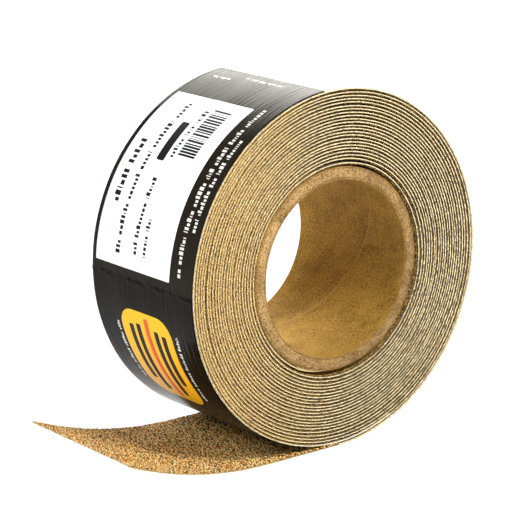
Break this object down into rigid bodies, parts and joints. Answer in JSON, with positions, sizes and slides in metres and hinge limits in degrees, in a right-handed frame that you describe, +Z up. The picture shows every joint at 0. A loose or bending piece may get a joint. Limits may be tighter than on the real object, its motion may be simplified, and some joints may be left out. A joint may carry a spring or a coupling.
{
  "type": "abrasive paper roll",
  "caption": "Roll of hook-and-loop backed sandpaper wound on an open paperboard core, with a printed band round it and its free end pulled out along the table.",
  "frame": {"origin": "centre of the paperboard core's bore, midway between the two end faces", "axes": "+Y along the bore axis towards the back face, +Z up, the free end runs along the floor towards -X"},
  "size_m": [0.1858, 0.0698, 0.1542],
  "materials": {
    "kraft_liner": "matt kraft ply",
    "core_board": "matt grey-brown paperboard",
    "core_facing": "matt kraft ply",
    "glue": "translucent dried glue",
    "grit": "sharp gold-brown grit in resin",
    "backing_paper": "dense tan paper",
    "fleece": "brushed cream loop pile",
    "band_film": "glossy black print",
    "sticker_paper": "smooth white label"
  },
  "bodies": {
    "roll": {"core_inner_liner": "kraft_liner", "core_board_tube": "core_board", "core_outer_ply": "core_facing", "start_glue_bead": "glue", "coil_abrasive_coat": "grit", "coil_paper_backing": "backing_paper", "coil_loop_fleece": "fleece", "printed_band": "band_film", "band_top_glue": "glue", "band_bottom_glue": "glue", "size_sticker": "sticker_paper"},
    "tail": {"tail_abrasive_coat": "grit", "tail_paper_backing": "backing_paper", "tail_loop_fleece": "fleece"},
    "tail_tip": {"tail_tip_abrasive_coat": "grit", "tail_tip_paper_backing": "backing_paper", "tail_tip_loop_fleece": "fleece"}
  },
  "joints": [
    {"name": "tail_lift", "type": "hinge", "parent": "roll", "child": "tail", "pos_m": [-0.036, 0, -0.07684], "axis": [0, 1, 0], "range_deg": [0, 30], "stiffness_Nm_per_rad": 0.05},
    {"name": "tip_curl", "type": "hinge", "parent": "tail", "child": "tail_tip", "pos_m": [-0.0723, 0, -0.07312], "axis": [0, 1, 0], "range_deg": [0, 25], "stiffness_Nm_per_rad": 0.05}
  ]
}
